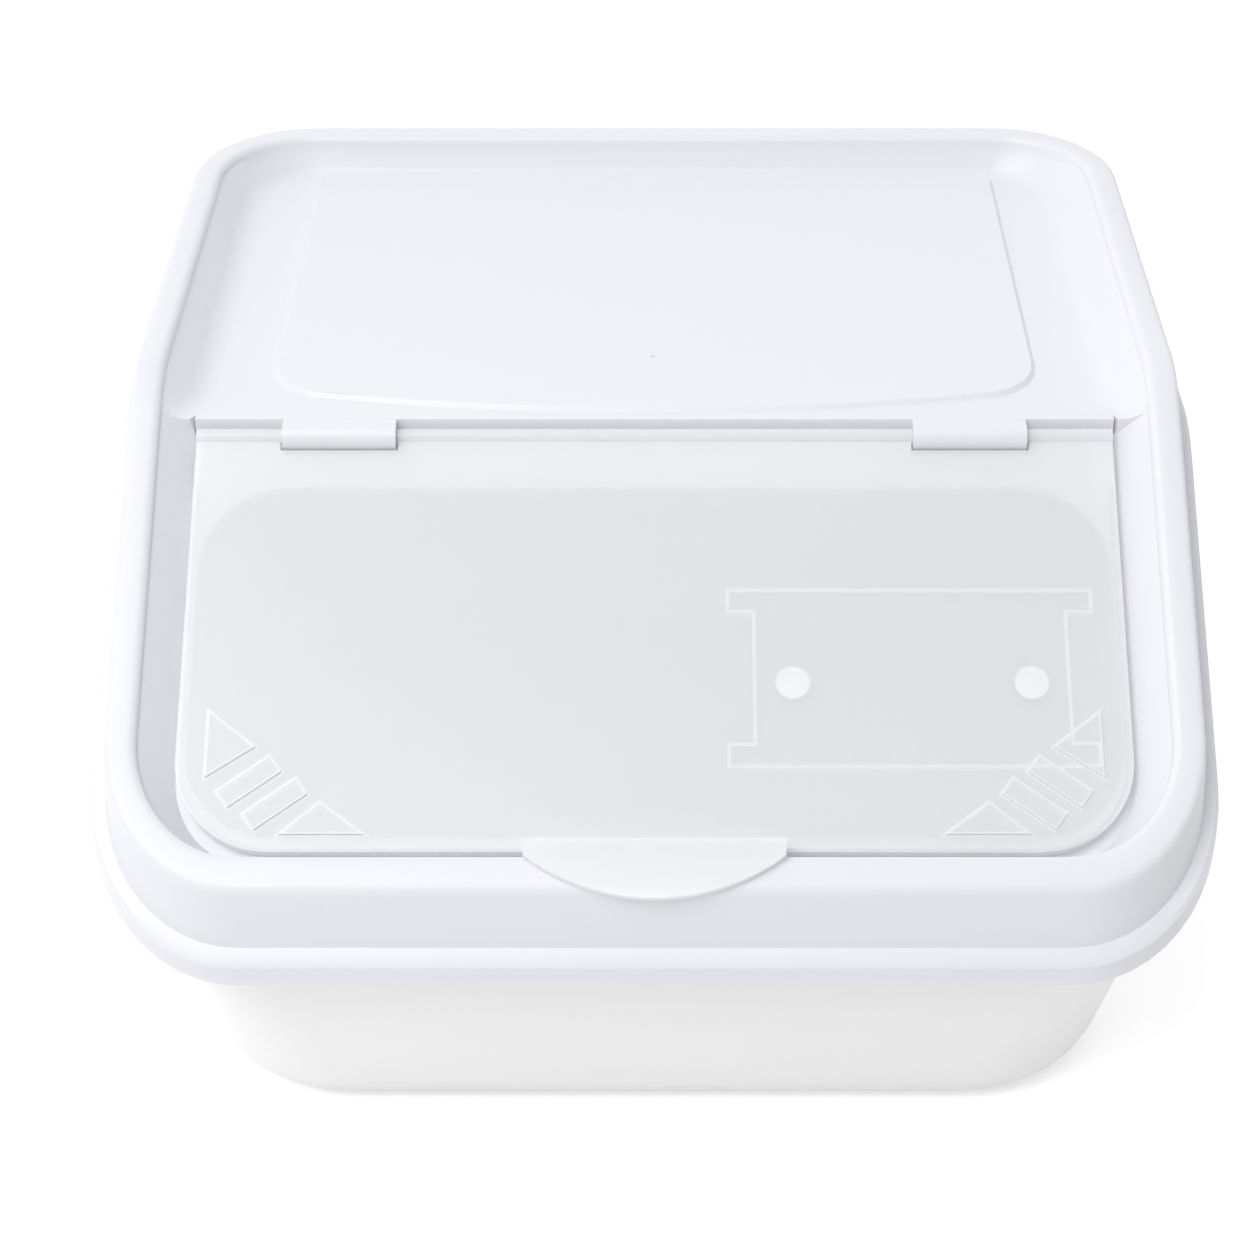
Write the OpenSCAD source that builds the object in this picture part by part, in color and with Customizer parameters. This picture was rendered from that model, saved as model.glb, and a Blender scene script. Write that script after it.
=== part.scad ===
// Rice bin with flip lid. X is the width, the front faces -Y, Z is up.
// The origin is at the middle of the bin's footprint, on the surface that it stands on.

/* [Lid outline] */
// Width over the lid's flange
lid_w = 290; // [250:1:330]
// Depth over the lid's flange
lid_d = 288; // [250:1:330]
// Plan radius of the flange's corners
lid_r = 40; // [34:1:50]
// Height of the flange's top at the back
flange_z = 154.5; // [130:0.5:190]
// Slope of the lid's front part, in degrees
slope = 34; // [26:1:36]
// Distance from the front edge to the bend in the rim
bend_from_front = 126; // [110:1:140]
// Radius of the bend in the rim
bend_r = 30; // [10:1:50]

/* [Rim] */
// Height of the rim bead over the flange
rim_h = 16.5; // [14:0.5:20]
// Width of the flange's flat ledge
flange_w = 3.9; // [3:0.1:6]
// Drop of the lip below the flange's top
lip_drop = 6.5; // [5:0.5:9]
// Width of the rim bead
bead_w = 8.6; // [7.5:0.1:11]
// Lean of the skirt, inwards over its height
skirt_lean = 1.1; // [0.5:0.1:2.5]
// Wall of the lid frame
frame_wall = 2; // [1.6:0.1:2.4]
// Depth of the plug wall below the flange's top
plug_drop = 7; // [5:0.5:9]

/* [Panel] */
// Depth of the panel below the rim bead
panel_drop = 11; // [9.5:0.5:12]
// Thickness of the panel and of the ledge
panel_t = 2.5; // [2:0.1:3]
// Run of the side walls from the bead down to the panel
side_run = 9; // [6:0.5:11]
// Run of the front and back walls from the bead down to the panel
end_run = 4.6; // [2.5:0.1:6]
// Radius of the hollow between the walls and the level panel
hollow_r = 11; // [6:0.5:14]
// Height of the raised field on the panel
field_h = 1.2; // [0.6:0.1:2]
// Distance from the foot of the side walls to the raised field
field_side = 17.4; // [14:0.2:30]
// Radius of the raised field's front corners
field_r = 18; // [10:1:24]
// How far the raised field's front edge bows forward
field_bow = 8; // [3:0.5:10]

/* [Pour opening] */
// How far the flip lid's sides lie on the ledge beside the opening
side_lap = 1.9; // [1.9:0.1:8]
// How far the flip lid's front edge lies on the ledge in front of the opening
front_lap = 5.2; // [3:0.1:12]
// Distance from the hinge axis to the opening's back edge, along the slope
opening_back = 13.6; // [12:0.2:18]
// Corner radius of the pour opening
opening_r = 23; // [14:1:30]

/* [Hinge] */
// Distance from the bend in the rim to the hinge axis
axis_from_bend = 11.5; // [10:0.1:14]
// Radius of the hinge rod
rod_r = 2.2; // [1.8:0.1:2.4]
// Running clearance of the rod in its knuckles
rod_fit = 0.08; // [0.05:0.01:0.1]
// Outer radius of the knuckles
knuckle_r = 4; // [3.8:0.1:4.6]
// Length of each knuckle
knuckle_l = 30.2; // [24:0.2:40]
// Distance from the flip lid's sides to the knuckles
knuckle_from_side = 23.1; // [15:0.1:40]
// Gap of the notches round the knuckles
notch_gap = 0.5; // [0.4:0.1:2]

/* [Flip lid] */
// Gap between the flip lid's sides and the foot of the side walls
flip_side_gap = 0.2; // [0.2:0.1:1.5]
// Gap between the flip lid's rib and the foot of the front wall
flip_front_gap = 1.4; // [0.8:0.1:3]
// Thickness of the flip lid
flip_t = 2.2; // [1.8:0.1:2.6]
// Front corner radius of the flip lid
flip_r = 25; // [16:1:32]
// Gap between the flip lid's rib and the ledge
rest_gap = 0.3; // [0.3:0.05:0.6]
// Width of the finger tab
tab_w = 65.6; // [50:0.2:80]
// Reach of the finger tab, from its web to the middle of its front edge
tab_reach = 15.6; // [12:0.2:18]
// Thickness of the finger tab
tab_t = 2.1; // [1.8:0.1:2.6]
// Height of the reliefs on the flip lid
relief_h = 0.7; // [0.4:0.1:1.2]

/* [Tub] */
// Wall of the tub
tub_wall = 2.2; // [1.6:0.1:2.6]
// Distance from the flange's edge in to the tub's wall, at the rim
tub_inset = 8; // [7.6:0.1:9]
// How far the tub's side walls come in at the bottom
side_taper = 14.5; // [8:0.5:18]
// How far the tub's front and back walls come in at the bottom
end_taper = 15; // [8:0.5:18]
// Plan radius of the tub's corners at the bottom
tub_foot_r = 42; // [32:1:50]
// Radius of the tub's bottom edge
tub_edge_r = 13; // [8:1:20]

/* [Hidden] */
white = "whitesmoke";
frosted = "gainsboro";
far = 400;
round_fn = 64;
corner_steps = 13;
bend_steps = 8;
// How far solids that are joined reach into each other
joint = 0.2;

// Heights of the main surfaces, and the bend between the level part and the sloped part
front_y = -lid_d / 2;
bend_y = front_y + bend_from_front;
bend_t = bend_r * tan(slope / 2);
rim_z = flange_z + rim_h;
panel_z = rim_z - panel_drop;
panel_h = rim_h - panel_drop;

// The rim's section: the skirt, the bead and the wall inside it
skirt_top = flange_w + skirt_lean;
bead_out_r = 1.7;
bead_in_r = 2.4;
bead_in = skirt_top + bead_w;
wall_drop = panel_drop - bead_in_r;

// The hinge axis, the bar that the panel ends in behind it, and the ledge below it
bar_gap = 0.4;
axis_y = bend_y - axis_from_bend;
axis_z = panel_z - knuckle_r;
bar_y = axis_y + rod_r + bar_gap;
floor_drop = (bend_y - bar_y) * tan(slope);
ledge_below = (axis_z - panel_z + axis_from_bend * tan(slope)) * cos(slope);

// The flip lid, sized by the walls and the ledge round it, and the opening under it
flip_rib = ledge_below - flip_t / 2 - rest_gap;
flip_w = lid_w - 2 * (bead_in + side_run + flip_side_gap);
flip_l = (bend_from_front - axis_from_bend - bead_in - end_run - flip_front_gap
    + (flip_t / 2 + flip_rib) * sin(slope)) / cos(slope);
opening_w = flip_w - 2 * side_lap;
opening_front = flip_l - front_lap;
knuckle_x = flip_w / 2 - knuckle_from_side - knuckle_l;

// Drop of a bent surface at y, against its level part
function bend_drop(y) =
    y >= bend_y + bend_t ? 0 :
    y <= bend_y - bend_t * cos(slope) ? (bend_y - y) * tan(slope) :
    bend_r - sqrt(pow(bend_r, 2) - pow(bend_y + bend_t - y, 2));

// Stations in y along the bend, from back to front, and one in front of the hinge bar
stations = concat([for (i = [0:bend_steps]) bend_y + bend_t - bend_r * sin(slope * i / bend_steps)], [bar_y - 1]);
last = len(stations) - 1;

// One corner arc of a plan outline
function corner(cx, cy, r, from) =
    [for (i = [0:corner_steps - 1]) let (a = from + 90 * i / (corner_steps - 1)) [cx + r * cos(a), cy + r * sin(a)]];

// Plan outline, counter-clockwise from above, with the stations on both long sides
function outline(hw, y0, y1, r) = concat(
    corner(hw - r, y0 + r, r, -90),
    [for (i = [last:-1:0]) [hw, stations[i]]],
    corner(hw - r, y1 - r, r, 0),
    corner(r - hw, y1 - r, r, 90),
    [for (i = [0:last]) [-hw, stations[i]]],
    corner(r - hw, y0 + r, r, 180));

// Plan outline of the lid, a side inset and an end inset in from the flange's edge
function lid_outline(side, end) =
    outline(lid_w / 2 - side, front_y + end, -front_y - end, lid_r - (side + end) / 2);

// A ring of points at one height over the flange's bent surface
function lid_ring(side, end, h) =
    [for (p = lid_outline(side, end)) [p[0], p[1], flange_z + h - bend_drop(p[1])]];

// A closed solid round a loop of rings: the last ring joins the first one again
module ring_loop(rings) {
    n = len(rings[0]);
    m = len(rings);
    polyhedron(
        points = [for (ring = rings) for (p = ring) p],
        faces = [for (j = [0:m - 1]) for (i = [0:n - 1]) for (k = [0:1])
            let (a = j * n + i, b = j * n + (i + 1) % n,
                 c = ((j + 1) % m) * n + (i + 1) % n, d = ((j + 1) % m) * n + i)
            k == 0 ? [a, c, b] : [a, d, c]]);
}

// A closed solid through a stack of rings, with a flat face on the first and the last one
module ring_stack(rings) {
    n = len(rings[0]);
    m = len(rings);
    polyhedron(
        points = [for (ring = rings) for (p = ring) p],
        faces = concat(
            [[for (i = [0:n - 1]) i]],
            [for (j = [0:m - 2]) for (i = [0:n - 1]) for (k = [0:1])
                let (a = j * n + i, b = j * n + (i + 1) % n, c = (j + 1) * n + (i + 1) % n, d = (j + 1) * n + i)
                k == 0 ? [a, c, b] : [a, d, c]],
            [[for (i = [n - 1:-1:0]) (m - 1) * n + i]]));
}

// A side view, drawn as [y, z], made as wide as the lid
module across(points, w) {
    translate([w / 2, 0, 0])
        rotate([90, 0, -90])
            linear_extrude(w)
                polygon([for (p = points) [-p[0], p[1]]]);
}

// The frame of the sloped part: origin on the hinge axis, -Y down the slope, Z out of it
module on_slope() {
    translate([0, axis_y, axis_z])
        rotate([slope, 0, 0])
            children();
}

module rounded_plate(x0, y0, x1, y1, r) {
    translate([x0 + r, y0])
        square([x1 - x0 - 2 * r, y1 - y0]);
    translate([x0, y0 + r])
        square([x1 - x0, y1 - y0 - 2 * r]);
    for (x = [x0 + r, x1 - r], y = [y0 + r, y1 - r])
        translate([x, y])
            circle(r, $fn = round_fn);
}

/* Tub */

// Clearances: the lid's lip round the tub's rim, and the flange over it
lip_fit = 0.6;
seat_gap = 0.3;
lip_wall = 2;
edge_break = 0.4;
tub_flange_t = 2.2;
tub_flange_in = lip_wall + lip_fit;
tub_flange_z = -frame_wall - seat_gap;
tub_flange_foot = 0.8;
edge_steps = 4;

// Rim of the wall and foot of the wall, both at one inset measured from the wall's outer face
function wall_rim(inset, h) = lid_ring(tub_inset + inset, tub_inset + inset, h);
function wall_foot(inset, z) =
    [for (p = outline(lid_w / 2 - tub_inset - side_taper - inset,
                      front_y + tub_inset + end_taper + inset,
                      -front_y - tub_inset - end_taper - inset,
                      tub_foot_r - inset)) [p[0], p[1], z]];
// A ring on the edge's curve, from the floor at t = 0 to the wall at t = 1
function edge_ring(inset, z, r, t) =
    let (foot = wall_foot(inset, z), floor_ring = wall_foot(inset + r, z), rim = wall_rim(inset, 0))
    [for (i = [0:len(foot) - 1])
        let (up = foot[i] + (rim[i] - foot[i]) * r / norm(rim[i] - foot[i]))
        pow(1 - t, 2) * floor_ring[i] + 2 * t * (1 - t) * foot[i] + pow(t, 2) * up];

module tub() {
    inner_r = tub_edge_r - tub_wall;
    flange_foot_z = tub_flange_z - tub_flange_t;
    broken = tub_flange_in + edge_break;
    color(frosted)
        ring_stack(concat(
            [for (i = [0:edge_steps]) edge_ring(0, 0, tub_edge_r, i / edge_steps)],
            [wall_rim(0, flange_foot_z - tub_flange_foot),
             wall_rim(-tub_flange_foot, flange_foot_z),
             lid_ring(tub_flange_in, tub_flange_in, flange_foot_z),
             lid_ring(tub_flange_in, tub_flange_in, tub_flange_z - edge_break),
             lid_ring(broken, broken, tub_flange_z),
             wall_rim(tub_wall, tub_flange_z)],
            [for (i = [edge_steps:-1:0]) edge_ring(tub_wall, tub_wall, inner_r, i / edge_steps)]));
}

/* Lid frame */

lip_round = 0.9;
plug_gap = 2;
plug_wall = 1.6;
plug_in = tub_inset + tub_wall + plug_gap;
plug_out = plug_in + plug_wall;
wall_steps = 3;
wall_t = 5;
// How far the walls reach below and past the panel's edge, inside the sheet
foot_down = 0.3;
foot_past = 1.2;
foot_under = 1.4;
foot_back = 0.75;

// Points of the rim's section as [side inset, end inset, height over the flange]
function same(list) = [for (p = list) [p[0], p[0], p[1]]];
function bead_arc(cx, cz, r, from, to, steps) =
    [for (i = [0:steps]) let (a = from + (to - from) * i / steps) [cx - r * cos(a), cz + r * sin(a)]];
inner_wall = [for (i = [1:wall_steps]) let (t = i / wall_steps * (1 + foot_down / wall_drop))
    [bead_in + side_run * t, bead_in + end_run * t, rim_h - bead_in_r - wall_drop * t]];
section = concat(
    same([[0, -lip_drop], [0, -lip_round], [lip_round, 0], [flange_w, 0]]),
    same(bead_arc(skirt_top + bead_out_r, rim_h - bead_out_r, bead_out_r, 0, 90, 4)),
    same(bead_arc(bead_in - bead_in_r, rim_h - bead_in_r, bead_in_r, 90, 180, 4)),
    inner_wall,
    [[bead_in + side_run + foot_past, bead_in + end_run + foot_past, panel_h - foot_under],
     [bead_in + side_run * foot_back, bead_in + end_run * foot_back, panel_h - foot_under]],
    same([[plug_out, rim_h - bead_in_r - wall_t], [plug_out, -plug_drop], [plug_in, -plug_drop],
          [plug_in, rim_h - frame_wall - bead_in_r], [plug_in - bead_in_r / 2, rim_h - frame_wall],
          [skirt_top + frame_wall + bead_out_r, rim_h - frame_wall],
          [skirt_top + frame_wall, rim_h - frame_wall - bead_out_r],
          [flange_w + frame_wall, 0], [flange_w + frame_wall, -frame_wall],
          [lip_wall, -frame_wall], [lip_wall, -lip_drop]]));

module rim() {
    ring_loop([for (p = section) lid_ring(p[0], p[1], p[2])]);
}

// The sunk panel, the step of the hinge bar and the sloped ledge, as one bent sheet
module panel_sheet() {
    side = bead_in + side_run - 2 * joint;
    end = bead_in + end_run - 2 * joint;
    front_z = panel_z - floor_drop - (bar_y + far) * tan(slope);
    under_t = panel_t / cos(slope);
    intersection() {
        across([[far, panel_z], [bar_y, panel_z], [bar_y, panel_z - floor_drop],
                [-far, front_z], [-far, front_z - under_t],
                [bar_y + panel_t, panel_z - floor_drop - under_t + panel_t * tan(slope)],
                [bar_y + panel_t, panel_z - panel_t], [far, panel_z - panel_t]], lid_w);
        linear_extrude(far)
            rounded_plate(side - lid_w / 2, front_y + end, lid_w / 2 - side, -front_y - end, lid_r - (side + end) / 2);
    }
}

// The hollow between the walls and the level panel, cut off at the hinge bar
side_lean = atan(wall_drop / side_run);
end_lean = atan(wall_drop / end_run);
hollow_end_r = hollow_r * (1 - cos(side_lean)) / (1 - cos(end_lean));
hollow_side = bead_in + side_run + hollow_r * tan(side_lean / 2);
hollow_end = bead_in + end_run + hollow_end_r * tan(end_lean / 2);
hollow_steps = 5;
hollow_sink = 0.03;
hollow_base = 0.6;

// A ring of the hollow. It keeps the panel's level (level = 1) or follows the bent wall's foot (level = 0)
function hollow_ring(side, end, h, level) =
    [for (p = lid_outline(side, end)) let (drop = min(bend_drop(p[1]), wall_drop))
        [p[0] + level * sign(p[0]) * side_run * drop / wall_drop, p[1], panel_z + h - (1 - level) * drop]];
module hollow() {
    arc = [for (i = [0:hollow_steps]) let (a = side_lean * (1 - i / hollow_steps), h = hollow_r * (1 - cos(a)))
        hollow_ring(hollow_side - hollow_r * sin(a) - hollow_sink,
                    hollow_end - hollow_end_r * sin(acos(1 - h / hollow_end_r)) - hollow_sink, h - hollow_sink, 1)];
    intersection() {
        ring_loop(concat(arc,
            [hollow_ring(hollow_side, hollow_end, -hollow_base, 1),
             hollow_ring(bead_in + side_run - hollow_base, bead_in + end_run - hollow_base, -hollow_base, 0)]));
        translate([-far, bar_y, 0])
            cube([2 * far, far, far]);
    }
}

// Front edge of the raised field, bowed forward, with its round corners
field_front = bend_y + 2;
field_back = -front_y - bead_in - end_run - 4;
bow_steps = 8;
field_corner_steps = 5;
function field_outline(inset) =
    let (hw = lid_w / 2 - bead_in - side_run - field_side - inset, r = field_r - inset,
         y0 = field_front + inset, span = hw - r,
         turn = [for (i = [1:field_corner_steps]) let (a = 90 * i / field_corner_steps)
            [span + r * sin(a), y0 + r * (1 - cos(a))]])
    concat(
        [for (i = [-bow_steps:bow_steps]) [span * i / bow_steps, y0 - field_bow * (1 - pow(i / bow_steps, 2))]],
        turn,
        [[hw, field_back], [-hw, field_back]],
        [for (i = [field_corner_steps - 1:-1:0]) [-turn[i][0], turn[i][1]]]);

// The gate mark is the small round dimple in the middle of the field
gate_r = 1.1;
gate_depth = 0.3;
gate_from_bend = 23.6;

module raised_field() {
    low = field_outline(0);
    high = field_outline(field_h);
    difference() {
        ring_stack([[for (p = low) [p[0], p[1], panel_z - 2 * joint]],
                    [for (p = low) [p[0], p[1], panel_z]],
                    [for (p = high) [p[0], p[1], panel_z + field_h]]]);
        translate([0, bend_y + gate_from_bend, panel_z + field_h - gate_depth])
            cylinder(h = 2 * gate_depth, r = gate_r, $fn = round_fn);
    }
}

module knuckles() {
    root = 1.2;
    for (x = [-knuckle_x - knuckle_l, knuckle_x])
        translate([x, axis_y, axis_z])
            difference() {
                union() {
                    rotate([0, 90, 0])
                        cylinder(h = knuckle_l, r = knuckle_r, $fn = round_fn);
                    translate([0, 0, -knuckle_r - root])
                        cube([knuckle_l, bar_y - axis_y + panel_t / 2, 2 * knuckle_r + root - joint / 4]);
                }
                translate([-1, 0, 0])
                    rotate([0, 90, 0])
                        cylinder(h = knuckle_l + 2, r = rod_r + rod_fit, $fn = round_fn);
            }
}

module pour_opening() {
    on_slope()
        linear_extrude(far, center = true)
            rounded_plate(-opening_w / 2, -opening_front, opening_w / 2, -opening_back, opening_r);
}

module lid_frame() {
    color(white) {
        difference() {
            union() {
                rim();
                panel_sheet();
            }
            pour_opening();
        }
        hollow();
        raised_field();
        knuckles();
    }
}

/* Flip lid */

rib_in = 0.3;
rib_t = 1.4;
rib_clear = 14;
web_t = 1.6;
tab_gap = 0.3;
tab_side = 4.4;
tab_lift = panel_drop * cos(slope) - ledge_below + tab_gap;
grip_turn = -36;
grip_l = 16.4;
grip_w = 5.4;
holder_w = 94.5;
holder_l = 48.6;
holder_bar = 6;
holder_step = 6.7;
holder_in = 55.9;
holder_up = 47.2;
stud_r = 4.5;
stud_h = 3;
stud_apart = 61.5;
stud_off = -1.5;

module flip_outline(inset) {
    difference() {
        rounded_plate(-flip_w / 2 + inset, -flip_l + inset, flip_w / 2 - inset, flip_r, flip_r - inset);
        translate([-far, 0])
            square([2 * far, far]);
    }
}

// The notches let the knuckles through
module notches() {
    reach = knuckle_r + notch_gap;
    for (x = [-knuckle_x - knuckle_l, knuckle_x])
        translate([x - notch_gap, -reach, -reach])
            cube([knuckle_l + 2 * notch_gap, 2 * reach, 2 * reach]);
}

// Finger tab: straight at the back, round in front, on a web that rises from the flip lid's front edge
module finger_tab() {
    chord = tab_w / 2;
    bow = tab_reach - tab_side;
    arc_r = (pow(chord, 2) + pow(bow, 2)) / (2 * bow);
    web_foot = flip_t / 2 - joint;
    translate([0, -flip_l + web_t, tab_lift])
        linear_extrude(tab_t)
            intersection() {
                translate([-chord, -far])
                    square([tab_w, far]);
                translate([0, arc_r - tab_reach])
                    circle(arc_r, $fn = 4 * round_fn);
            }
    translate([-chord, -flip_l, web_foot])
        cube([tab_w, web_t, tab_lift + tab_t - web_foot]);
}

// Grip relief of one front corner, measured inwards and up from that corner: a triangle, two bars and a triangle
module grip_relief() {
    polygon([[-7.9, 37.9], [-7.9, 19.8], [-20.4, 28.1]]);
    polygon([[-48.9, 4.7], [-27.4, 4.7], [-37.6, 13.3]]);
    for (place = [[-19.2, 18.8], [-26.1, 12.8]])
        translate(place)
            rotate(grip_turn)
                square([grip_l, grip_w], center = true);
}

// Raised shape like a letter I lying on its web, with a round stud on either side
module holder_relief() {
    bar_y = (holder_l - holder_bar) / 2;
    translate([flip_w / 2 - holder_in, holder_up - flip_l, -flip_t / 2]) {
        translate([0, 0, -relief_h])
            linear_extrude(relief_h + joint) {
                for (y = [-bar_y, bar_y])
                    translate([0, y])
                        square([holder_w, holder_bar], center = true);
                square([holder_w - 2 * holder_step, holder_l - holder_bar], center = true);
            }
        for (x = [-stud_apart, stud_apart] / 2)
            translate([x, stud_off, -stud_h])
                cylinder(h = stud_h + joint, r = stud_r, $fn = round_fn);
    }
}

module flip_lid() {
    color(frosted)
        on_slope() {
            difference() {
                union() {
                    translate([0, 0, -flip_t / 2])
                        linear_extrude(flip_t)
                            flip_outline(0);
                    translate([0, 0, -flip_t / 2 - flip_rib])
                        linear_extrude(flip_rib + joint)
                            difference() {
                                flip_outline(rib_in);
                                flip_outline(rib_in + rib_t);
                                translate([-far, -rib_clear])
                                    square([2 * far, far]);
                            }
                }
                notches();
            }
            translate([-flip_w / 2, 0, 0])
                rotate([0, 90, 0])
                    cylinder(h = flip_w, r = rod_r, $fn = round_fn);
            finger_tab();
            holder_relief();
            translate([0, 0, flip_t / 2 - joint])
                linear_extrude(joint + relief_h)
                    for (side = [0, 1])
                        mirror([side, 0])
                            translate([flip_w / 2, -flip_l])
                                grip_relief();
        }
}

tub();
lid_frame();
flip_lid();
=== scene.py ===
# %% [markdown]
# A rice bin with a flip lid, dressed for a product picture.
# The bin is three mouldings of polypropylene: a frosted tub, a white lid frame that lifts off it, and a frosted
# flip lid that turns in the frame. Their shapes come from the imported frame. What is left to do here is what makes
# plastic look like plastic: soft edges, the right gloss, light that passes through the thin walls, and a quiet studio.

# %% Load the frame
import math

import bmesh
import bpy
from mathutils import Matrix, Vector


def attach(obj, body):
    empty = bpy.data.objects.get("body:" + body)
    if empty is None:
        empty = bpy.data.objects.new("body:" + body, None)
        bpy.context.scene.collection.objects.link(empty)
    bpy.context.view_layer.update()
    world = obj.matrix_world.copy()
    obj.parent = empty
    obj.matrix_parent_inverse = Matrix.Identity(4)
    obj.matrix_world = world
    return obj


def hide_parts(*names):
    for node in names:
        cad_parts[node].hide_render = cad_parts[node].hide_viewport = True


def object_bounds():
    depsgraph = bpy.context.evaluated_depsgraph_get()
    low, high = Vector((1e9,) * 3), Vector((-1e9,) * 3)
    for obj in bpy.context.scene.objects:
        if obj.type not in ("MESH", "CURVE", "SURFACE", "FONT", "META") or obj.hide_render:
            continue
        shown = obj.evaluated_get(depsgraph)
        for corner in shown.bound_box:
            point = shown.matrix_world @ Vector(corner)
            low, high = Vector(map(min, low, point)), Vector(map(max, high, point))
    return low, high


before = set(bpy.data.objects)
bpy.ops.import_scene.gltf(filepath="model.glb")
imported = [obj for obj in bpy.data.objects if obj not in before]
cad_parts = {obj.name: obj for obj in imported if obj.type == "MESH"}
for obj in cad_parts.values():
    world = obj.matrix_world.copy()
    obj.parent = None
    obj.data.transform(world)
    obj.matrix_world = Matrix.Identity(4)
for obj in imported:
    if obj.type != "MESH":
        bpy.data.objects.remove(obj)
cad_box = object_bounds()
MM = 0.001
low, high = [Vector(corner) for corner in cad_box]
print("bin, mm:", [round((b - a) / MM, 1) for a, b in zip(low, high)])

# %% [markdown]
# Colours are written as sRGB hex values, as a paint shop or a web page gives them. Blender's shaders work in linear
# light, so one function turns a hex value into linear numbers.
# Shaders are node trees. One more function adds any node, with its settings and its links, so that a material reads
# as a short list of nodes. A setting is a property of the node if it has one of that name, and else a socket.

# %% Colour and node helpers
def linear(hex_colour):
    """sRGB hex value to linear RGBA."""
    rgb = [int(hex_colour[i:i + 2], 16) / 255 for i in (1, 3, 5)]
    return (*[c / 12.92 if c <= 0.04045 else ((c + 0.055) / 1.055) ** 2.4 for c in rgb], 1.0)


def add(tree, kind, links=None, **settings):
    """Adds a node, sets its properties and sockets, and links its inputs."""
    new = tree.nodes.new(kind)
    for name, value in settings.items():
        key = name.replace("_", " ")
        if hasattr(new, name):
            setattr(new, name, value)
        else:
            new.inputs[key].default_value = value
    for name, source in (links or {}).items():
        tree.links.new(source, new.inputs[name])
    return new


print("middle grey in linear light:", round(linear("#808080")[0], 3))

# %% [markdown]
# The picture is taken from in front and above, with a long lens that keeps the sides nearly parallel. The bin stands
# a little right of the middle, which is a small sideways shift of the lens and not a turn of the camera.

# %% Camera
CAMERA_BACK = 678.76 * MM
CAMERA_UP = 531.73 * MM
CAMERA_DOWN_DEG = 34.0
FRAME_PX = 1260
LENS_PX = 2800.8
BIN_MIDDLE_PX = 654.5

camera = bpy.data.objects.new("camera", bpy.data.cameras.new("camera"))
bpy.context.scene.collection.objects.link(camera)
bpy.context.scene.camera = camera
camera.location = (0, -CAMERA_BACK, CAMERA_UP)
camera.rotation_euler = (math.radians(90 - CAMERA_DOWN_DEG), 0, 0)
camera.data.sensor_width = 36
camera.data.lens = LENS_PX / FRAME_PX * camera.data.sensor_width
camera.data.shift_x = (FRAME_PX / 2 - BIN_MIDDLE_PX) / FRAME_PX
camera.data.clip_end = 20
print("lens, mm:", round(camera.data.lens, 1))

# %% [markdown]
# A white bin on white ground needs light that differs from side to side, or it has no form. The world gives most of
# it, brightest low behind on the left and darkest opposite to that. It could be a few big lamps, but a smooth sky
# leaves no hard edge in the gloss of the plastic. One softbox, high in front on the left, lights the front faces.

# %% Sky and softbox
SKY_LEVEL = 0.67
SKY_SWING = 0.36
SKY_BRIGHTEST = Vector((-0.55, 0.80, 0.20)).normalized()
SOFTBOX_PLACE = Vector((-0.62, -0.86, 1.65))
SOFTBOX_SIZE = 1.0
SOFTBOX_WATTS = 18.0
SOFTBOX_AIM = Vector((0, 0, 0.1))

scene = bpy.context.scene
scene.view_settings.view_transform = "Standard"

softbox = bpy.data.objects.new("softbox_front_left", bpy.data.lights.new("softbox_front_left", "AREA"))
softbox.data.size = SOFTBOX_SIZE
softbox.data.energy = SOFTBOX_WATTS
softbox.location = SOFTBOX_PLACE
softbox.rotation_euler = (SOFTBOX_AIM - SOFTBOX_PLACE).to_track_quat("-Z", "Y").to_euler()
scene.collection.objects.link(softbox)


def looked_at(tree):
    """1 for rays from the camera, or by a mirror or through clear plastic; 0 for rays that gather light."""
    path = add(tree, "ShaderNodeLightPath")
    seen = path.outputs["Is Camera Ray"]
    for ray in ("Is Glossy Ray", "Is Transmission Ray"):
        seen = add(tree, "ShaderNodeMath", {0: seen, 1: path.outputs[ray]}, operation="MAXIMUM").outputs[0]
    return seen


world = bpy.data.worlds.new("studio")
scene.world = world
world.use_nodes = True
sky = world.node_tree
sky.nodes.clear()
way = add(sky, "ShaderNodeTexCoord")
swing = add(sky, "ShaderNodeVectorMath", {0: way.outputs["Generated"]}, operation="DOT_PRODUCT")
swing.inputs[1].default_value = SKY_BRIGHTEST
level = add(sky, "ShaderNodeMapRange", {"Value": swing.outputs["Value"]}, From_Min=-1.0, From_Max=1.0,
            To_Min=SKY_LEVEL - SKY_SWING, To_Max=SKY_LEVEL + SKY_SWING)
strength = add(sky, "ShaderNodeMix", {"Factor": looked_at(sky), "A": level.outputs["Result"]}, B=1.0)
background = add(sky, "ShaderNodeBackground", {"Strength": strength.outputs["Result"]}, Color=(1, 1, 1, 1))
add(sky, "ShaderNodeOutputWorld", {"Surface": background.outputs["Background"]})
print("sky strength:", round(SKY_LEVEL - SKY_SWING, 2), "to", round(SKY_LEVEL + SKY_SWING, 2),
      "softbox, mm from its aim:", round((SOFTBOX_AIM - SOFTBOX_PLACE).length / MM))

# %% [markdown]
# The bin stands on seamless white paper. Lit like the bin, the paper would come out pale grey. So it gets a glow that
# only the camera and the gloss see. That makes it white in the picture, keeps the bin's soft shadow on it, and throws
# no more light on the bin.

# %% Ground
GROUND_HALF = 6
GROUND_BELOW = 0.05 * MM
PAPER_GLOW = 0.42

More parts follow.
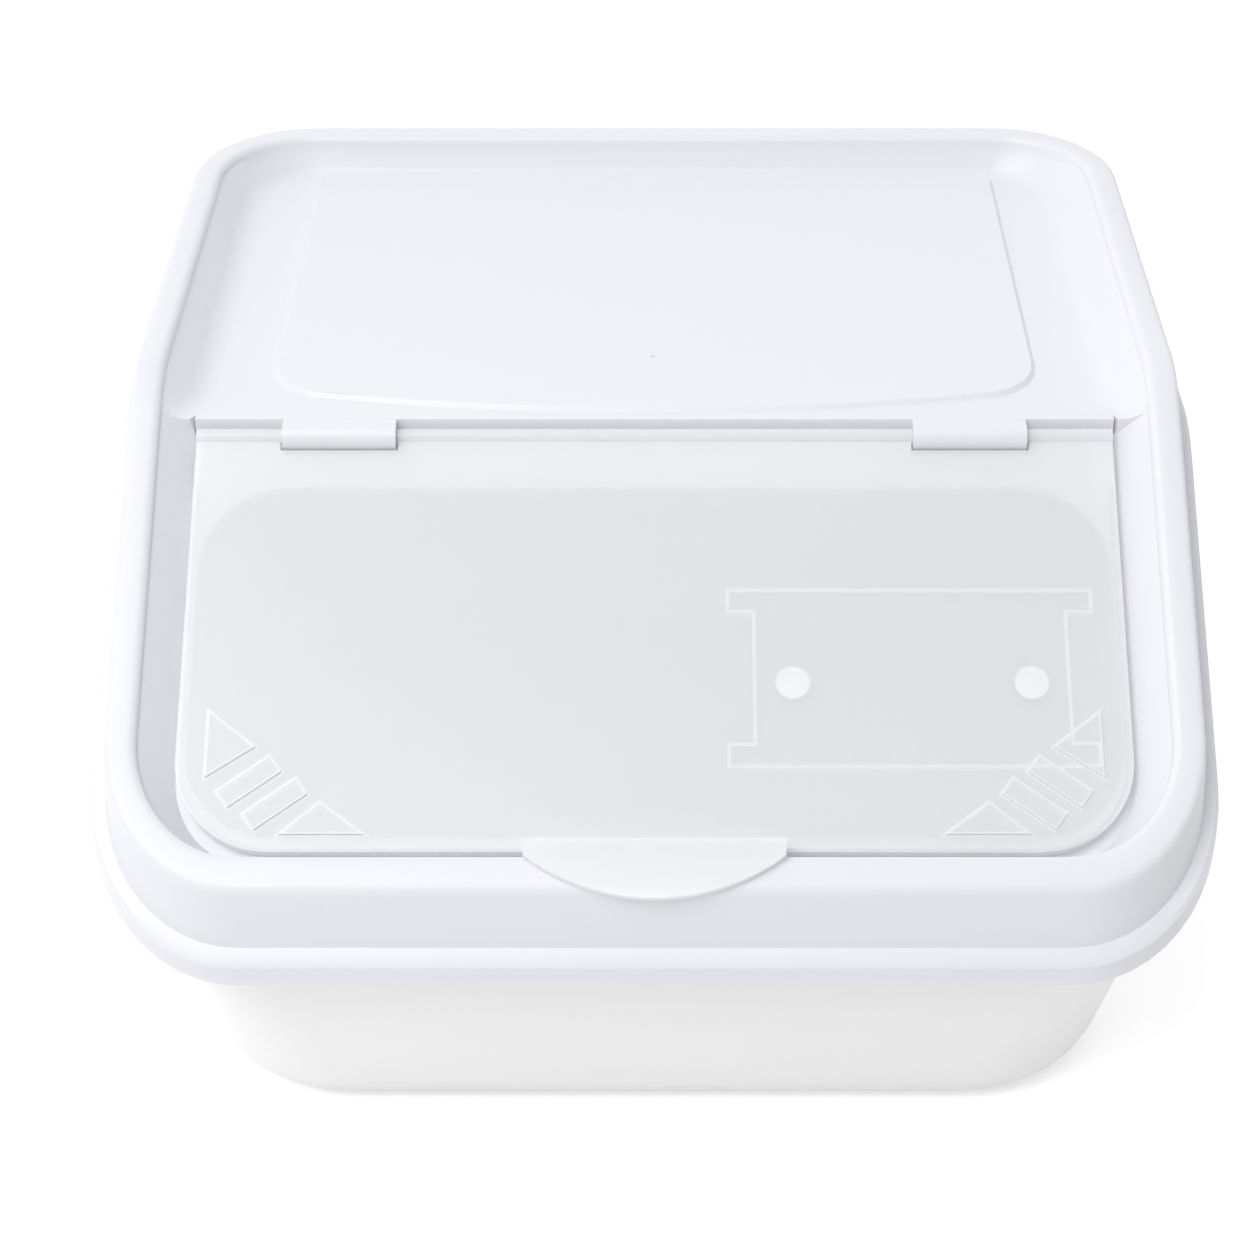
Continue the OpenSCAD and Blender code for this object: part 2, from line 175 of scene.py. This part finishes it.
sheet = bmesh.new()
bmesh.ops.create_grid(sheet, x_segments=1, y_segments=1, size=GROUND_HALF)
bmesh.ops.translate(sheet, vec=(0, 0, -GROUND_BELOW), verts=sheet.verts)
ground = bpy.data.objects.new("ground", bpy.data.meshes.new("ground"))
sheet.to_mesh(ground.data)
sheet.free()
scene.collection.objects.link(ground)

paper = bpy.data.materials.new("white seamless paper")
paper.use_nodes = True
tree = paper.node_tree
tree.nodes.clear()
lit = add(tree, "ShaderNodeBsdfDiffuse", Color=linear("#F2F2F2"))
glow = add(tree, "ShaderNodeEmission", {"Strength": looked_at(tree)}, Color=(PAPER_GLOW, PAPER_GLOW, PAPER_GLOW, 1))
both = add(tree, "ShaderNodeAddShader", {0: lit.outputs[0], 1: glow.outputs[0]})
add(tree, "ShaderNodeOutputMaterial", {"Surface": both.outputs[0]})
ground.data.materials.append(paper)
print("paper, m across:", 2 * GROUND_HALF)

# %% [markdown]
# All three mouldings are polypropylene, a waxy plastic with a soft shine. Its skin copies the steel of the mould, which
# is finely eroded and not polished: that is a small bump, and the shine differs a little from place to place. A photo
# of plastic could be wrapped round the bin instead, but noise in millimetres fits every face and needs no picture.
# The real grain is near 0.1 mm and too fine for the picture, so it is drawn as coarse as it needs to show.

# %% Moulded polypropylene
GRAIN_SIZE = 0.8 * MM
GRAIN_DEPTH = 0.02 * MM
CLOUD_SIZE = 45 * MM
GLOSS_SPREAD = 0.03
POLYPROPYLENE_IOR = 1.49


def plastic(name, colour, roughness, grain, glow=0.0, body=None, **settings):
    """Polypropylene, moulded in a finely eroded tool. glow is the share of the light that comes through, scattered.
    body is (thin, thick, places): how much of the view the plastic blocks where it is thin and where it is thick, and
    a function that gives 1 at the thick places and less where a highlight is painted in."""
    material = bpy.data.materials.new(name)
    material.use_nodes = True
    tree = material.node_tree
    tree.nodes.clear()
    place = add(tree, "ShaderNodeTexCoord")
    fine = add(tree, "ShaderNodeTexNoise", {"Vector": place.outputs["Object"]}, Scale=1 / GRAIN_SIZE, Detail=2.0)
    cloud = add(tree, "ShaderNodeTexNoise", {"Vector": place.outputs["Object"]}, Scale=1 / CLOUD_SIZE, Detail=2.0)
    gloss = add(tree, "ShaderNodeMapRange", {"Value": cloud.outputs["Fac"]},
                To_Min=roughness - GLOSS_SPREAD, To_Max=roughness + GLOSS_SPREAD)
    bump = add(tree, "ShaderNodeBump", {"Height": fine.outputs["Fac"]}, Strength=grain, Distance=GRAIN_DEPTH)
    surface = add(tree, "ShaderNodeBsdfPrincipled",
                  {"Normal": bump.outputs["Normal"], "Roughness": gloss.outputs["Result"]},
                  Base_Color=linear(colour), IOR=POLYPROPYLENE_IOR)
    for socket, value in settings.items():
        surface.inputs[socket.replace("_", " ")].default_value = value
    if body:
        thin, thick, places = body
        # places can also carry a painted highlight: where it is above 0, the plate blocks more and looks whiter.
        blocks = add(tree, "ShaderNodeMapRange", {"Value": places(tree)}, To_Min=thin, To_Max=thick)
        tree.links.new(blocks.outputs["Result"], surface.inputs["Alpha"])
    if glow:
        through = add(tree, "ShaderNodeBsdfTranslucent", {"Normal": bump.outputs["Normal"]}, Color=linear(colour))
        surface = add(tree, "ShaderNodeMixShader", {1: surface.outputs[0], 2: through.outputs[0]}, Fac=glow)
    add(tree, "ShaderNodeOutputMaterial", {"Surface": surface.outputs[0]})
    print(name, [round(c, 3) for c in linear(colour)[:3]], "nodes:", len(tree.nodes))
    return material


# %% [markdown]
# The lid frame holds white pigment, with the trace of blue that moulders add against yellowing. Light goes a few
# millimetres into it before it comes back, which softens the edge of a shadow.
# The tub has no pigment. It is milky: most of the light is scattered back, and a little comes through the wall.

# %% White and natural polypropylene
WHITE_REACH = 2 * MM
white_pp = plastic("white polypropylene, moulded", "#E4E5EA", 0.42, 0.3,
                   Subsurface_Weight=0.15, Subsurface_Radius=(1, 1, 1), Subsurface_Scale=WHITE_REACH)
tub_pp = plastic("natural polypropylene, moulded", "#FFFFFF", 0.5, 0.3, glow=0.04)

# %% [markdown]
# The flap slopes down to the front. Its details are easiest to place in a frame of their own: the origin on the hinge
# axis, X to the right, -Y down the slope and Z out of it. The same turn serves the meshes and the materials.

# %% Frame of the slope
SLOPE = math.radians(34)
HINGE = Vector((0, -29.5, 156)) * MM
to_slope = Matrix.Rotation(-SLOPE, 4, "X") @ Matrix.Translation(-HINGE)
print("hinge axis, mm:", [round(c / MM, 1) for c in HINGE], "slope, degrees:", round(math.degrees(SLOPE), 1))

# %% [markdown]
# Two studs, a raised shape like an I on its side, and grips in both front corners are moulded under the flap. Where the
# plastic is thicker, over the studs, it looks whiter through the plate. Along the outlines of the I and the grips the
# whiteness is a painted highlight, for the light caught in their upright edges. The shapes are in the mesh. Their
# whiteness could be painted on the mesh's faces, but the plate over them is one large face, so the material works it
# out: the distance to the nearest edge of each shape gives the painted highlight along its outline, and that to the
# middle of each stud gives a disc. Every shape is a convex polygon, so one function does for all. Sizes are in mm on
# the slope.

# %% Reliefs under the flap
FLAP_HALF_W = 122.2
FLAP_L = 116.36
STUDS = [(35.55, -70.7, 0), (97.05, -70.7, 0)]
STUD_R = 4.6
STUD_BLUR = 0.4
I_SHAPE = [[(25.8, -90.5), (106.8, -90.5), (106.8, -47.9), (25.8, -47.9)],
           [(19.05, -50.9), (113.55, -50.9), (113.55, -44.9), (19.05, -44.9)],
           [(19.05, -93.5), (113.55, -93.5), (113.55, -87.5), (19.05, -87.5)]]
GRIP_TRIANGLES = [[(-7.9, 37.9), (-20.4, 28.1), (-7.9, 19.8)], [(-48.9, 4.7), (-27.4, 4.7), (-37.6, 13.3)]]
GRIP_BARS = [(-19.2, 18.8), (-26.1, 12.8)]
GRIP_BAR_HALF = Vector((8.2, 2.7))
GRIP_TURN = Matrix.Rotation(math.radians(-36), 2)
# A painted highlight along the outlines of the I and the grips, for the light caught in their upright edges.
PAINTED_EDGE_LIGHT_HALF_W = 0.2
PAINTED_EDGE_LIGHT_FADE = 0.7
PAINTED_EDGE_LIGHT_SHARE = 0.5

flap_corner = Vector((FLAP_HALF_W, -FLAP_L))
grips = [[Vector(place) + flap_corner for place in corners] for corners in GRIP_TRIANGLES]
for middle in GRIP_BARS:
    corners = [Vector((GRIP_BAR_HALF.x * x, GRIP_BAR_HALF.y * y)) for x, y in ((-1, -1), (1, -1), (1, 1), (-1, 1))]
    grips.append([GRIP_TURN @ corner + Vector(middle) + flap_corner for corner in corners])
print("shapes under the flap:", len(I_SHAPE), "in the I,", len(grips), "in each grip,", len(STUDS), "studs")


def past_edge(tree, here, shapes):
    """How far a place is outside the nearest of some convex shapes, in metres; below 0 inside. Their corners run
    counter-clockwise, in mm."""
    nearest = None
    for corners in shapes:
        past = None
        for start, end in zip(corners, corners[1:] + corners[:1]):
            along = (Vector(end) - Vector(start)).normalized()
            out = Vector((along.y, -along.x, 0))
            reach = add(tree, "ShaderNodeVectorMath", {0: here}, operation="DOT_PRODUCT")
            reach.inputs[1].default_value = out
            side = add(tree, "ShaderNodeMath", {0: reach.outputs["Value"]}, operation="SUBTRACT")
            side.inputs[1].default_value = out.to_2d().dot(Vector(start)) * MM
            if past:
                side = add(tree, "ShaderNodeMath", {0: past, 1: side.outputs[0]}, operation="MAXIMUM")
            past = side.outputs[0]
        if nearest:
            past = add(tree, "ShaderNodeMath", {0: nearest, 1: past}, operation="MINIMUM").outputs[0]
        nearest = past
    return nearest


def studs_and_painted_edge_light(tree):
    """1 over the flap's two studs, where the plastic is thicker, a painted highlight of less along the outlines of the
    shapes moulded under it, and 0 elsewhere.
    """
    place = add(tree, "ShaderNodeTexCoord")
    here = add(tree, "ShaderNodeMapping", {"Vector": place.outputs["Object"]}, vector_type="TEXTURE",
               Location=HINGE, Rotation=(SLOPE, 0, 0)).outputs[0]
    axes = add(tree, "ShaderNodeSeparateXYZ", {0: here})
    from_middle = add(tree, "ShaderNodeMath", {0: axes.outputs[0]}, operation="ABSOLUTE")
    either_side = add(tree, "ShaderNodeCombineXYZ", {0: from_middle.outputs[0], 1: axes.outputs[1]}).outputs[0]
    parts = []
    for distance in (past_edge(tree, here, I_SHAPE), past_edge(tree, either_side, grips)):
        near = add(tree, "ShaderNodeMath", {0: distance}, operation="ABSOLUTE")
        parts.append(add(tree, "ShaderNodeMapRange", {"Value": near.outputs[0]}, From_Min=PAINTED_EDGE_LIGHT_FADE * MM,
                         From_Max=PAINTED_EDGE_LIGHT_HALF_W * MM, To_Max=PAINTED_EDGE_LIGHT_SHARE))
    for stud in STUDS:
        away = add(tree, "ShaderNodeVectorMath", {0: here}, operation="DISTANCE")
        away.inputs[1].default_value = Vector(stud) * MM
        parts.append(add(tree, "ShaderNodeMapRange", {"Value": away.outputs["Value"]},
                         From_Min=(STUD_R + STUD_BLUR) * MM, From_Max=(STUD_R - STUD_BLUR) * MM))
    over = parts[0].outputs[0]
    for part in parts[1:]:
        over = add(tree, "ShaderNodeMath", {0: over, 1: part.outputs[0]}, operation="MAXIMUM").outputs[0]
    return over


# %% [markdown]
# The flap has no pigment either, and is thin and smoother, so the ledge behind it shows as a paler band. Glass-like
# transmission could do that, but the light in a wall with two faces then dims after a few bounces. A share of plain
# see-through keeps the lamp's light, and its value was matched to how strongly the ledge shows.
# The upright edges of the flap have a material of their own, with the same share all over.

# %% Flap polypropylene
BLOCKS_THIN = 0.53
# The plate blocks more over the studs, where it is thicker, and along the outlines under it, where the extra whiteness
# is a painted highlight.
BLOCKS_THICK_AND_PAINTED_LIGHT = 0.78
BLOCKS_EDGE = 0.5
flap_pp = plastic("natural polypropylene, thin wall", "#FBFCFF", 0.3, 0.12,
                  body=(BLOCKS_THIN, BLOCKS_THICK_AND_PAINTED_LIGHT, studs_and_painted_edge_light))
edge_pp = plastic("natural polypropylene, thick wall", "#FFFFFF", 0.3, 0.12, Alpha=BLOCKS_EDGE)

# %% [markdown]
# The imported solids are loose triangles, which shade as facets. A copy is merged into one skin and shaded smooth,
# with its real edges kept sharp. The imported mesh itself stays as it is, and the copy stands for it in the picture.

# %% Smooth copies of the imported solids
MERGE_WITHIN = 0.002 * MM


def merged_copy(node):
    """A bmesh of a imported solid, with its loose triangles joined."""
    skin = bmesh.new()
    skin.from_mesh(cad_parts[node].data)
    bmesh.ops.remove_doubles(skin, verts=skin.verts, dist=MERGE_WITHIN)
    return skin


def moulding(node, skin, materials, sharp_deg=28):
    """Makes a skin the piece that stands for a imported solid, smooth but for edges sharper than sharp_deg."""
    data = bpy.data.meshes.new(node + "_moulding")
    skin.to_mesh(data)
    skin.free()
    for layer in [a for a in data.attributes if a.name == "custom_normal"]:
        data.attributes.remove(layer)
    data.shade_smooth()
    data.set_sharp_from_angle(angle=math.radians(sharp_deg))
    data.materials.clear()
    for material in materials:
        data.materials.append(material)
    piece = bpy.data.objects.new(node + "_moulding", data)
    scene.collection.objects.link(piece)
    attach(piece, node)
    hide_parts(node)
    print(node, "faces:", len(data.polygons))
    return piece


# %% [markdown]
# The tub is one deep moulding, drafted so that it leaves the mould, with a rim that follows the lid. The frame is the
# most detailed of the three: bead, flange, panel, ledge and knuckles. The curves of both are fine enough in the packed
# solid, so they need no rounding here.

# %% Tub and lid frame
moulding("tub", merged_copy("tub"), [tub_pp])
moulding("lid_frame", merged_copy("lid_frame"), [white_pp])

# %% [markdown]
# The flap is a flat plate, and no real moulding has knife edges: a light line along a rounded edge is how the eye
# tells. So its edges are bevelled, the top one round the rim more than the rest. A Bevel modifier could do it, but it
# has one width, and the operator takes just the edges that a test picks. First the plate's triangles are
# dissolved into large faces, as a bevel goes astray among slivers.

# %% Round the flap's edges
CREASE_DEG = 40
SHORTEST_ROUNDED = 0.4 * MM
FLAT_WITHIN_DEG = 0.3
RIM_ROUND = 0.9 * MM
EDGE_ROUND = 0.25 * MM
FLAP_CORNER_R = 25.0
FLAP_TOP_LEAST, FLAP_TOP_MOST = 0.5, 1.5
RIM_FROM = Vector((96, -91))
CLOSE = 0.1
corner_middle = flap_corner + Vector((-FLAP_CORNER_R, FLAP_CORNER_R))


def round_edges(skin, width, segments, chosen):
    """Bevels the sharp edges that the test picks by their two ends. Returns how many there were."""
    picked = [e for e in skin.edges if len(e.link_faces) == 2 and e.calc_length() > SHORTEST_ROUNDED
              and e.calc_face_angle() > math.radians(CREASE_DEG) and all(chosen(v.co) for v in e.verts)]
    bmesh.ops.bevel(skin, geom=picked, offset=width, offset_type="OFFSET", affect="EDGES",
                    segments=segments, profile=0.5, material=-1, clamp_overlap=True)
    return len(picked)


def on_flap_rim(place):
    """True on the upper edge round the flap's sides and front, and on the outer ends of its back edge. All in mm."""
    here = (to_slope @ place) / MM
    across = Vector((abs(here.x), here.y))
    outer = across.x > RIM_FROM.x or across.y < RIM_FROM.y
    at_edge = (across.x > FLAP_HALF_W - CLOSE or across.y < -FLAP_L + CLOSE
               or (across - corner_middle).length > FLAP_CORNER_R - CLOSE)
    return FLAP_TOP_LEAST < here.z < FLAP_TOP_MOST and outer and at_edge


flap_skin = merged_copy("flip_lid")
bmesh.ops.dissolve_limit(flap_skin, angle_limit=math.radians(FLAT_WITHIN_DEG), verts=flap_skin.verts,
                         edges=flap_skin.edges)
rim_edges = round_edges(flap_skin, RIM_ROUND, 3, on_flap_rim)
other_edges = round_edges(flap_skin, EDGE_ROUND, 2, lambda place: True)
print("rounded edges:", rim_edges, "round the rim,", other_edges, "others")

# %% [markdown]
# Upright faces, and the undersides of the rib and the reliefs, get the material of the thick wall. The rod at the
# hinge keeps the plate's. Shading is smooth across the small bevels, which would bend the light on the large
# faces beside them, so a Weighted Normal modifier gives the large faces the say.

# %% Flap
ROD_REACH = 6 * MM
UPRIGHT_BELOW = 0.85
UNDERSIDE_BELOW = -1.9 * MM
FLAP_SHARP_DEG = 40

for face in flap_skin.faces:
    here = to_slope @ face.calc_center_median()
    up = (to_slope.to_3x3() @ face.normal).z
    thick = here.y < -ROD_REACH and (abs(up) < UPRIGHT_BELOW or here.z < UNDERSIDE_BELOW)
    face.material_index = int(thick)
print("faces of the thick wall:", sum([face.material_index for face in flap_skin.faces]))
flap = moulding("flip_lid", flap_skin, [flap_pp, edge_pp], FLAP_SHARP_DEG)
flat = flap.modifiers.new("flat faces stay flat", "WEIGHTED_NORMAL")
flat.mode = "FACE_AREA"
flat.weight = 100
flat.keep_sharp = True
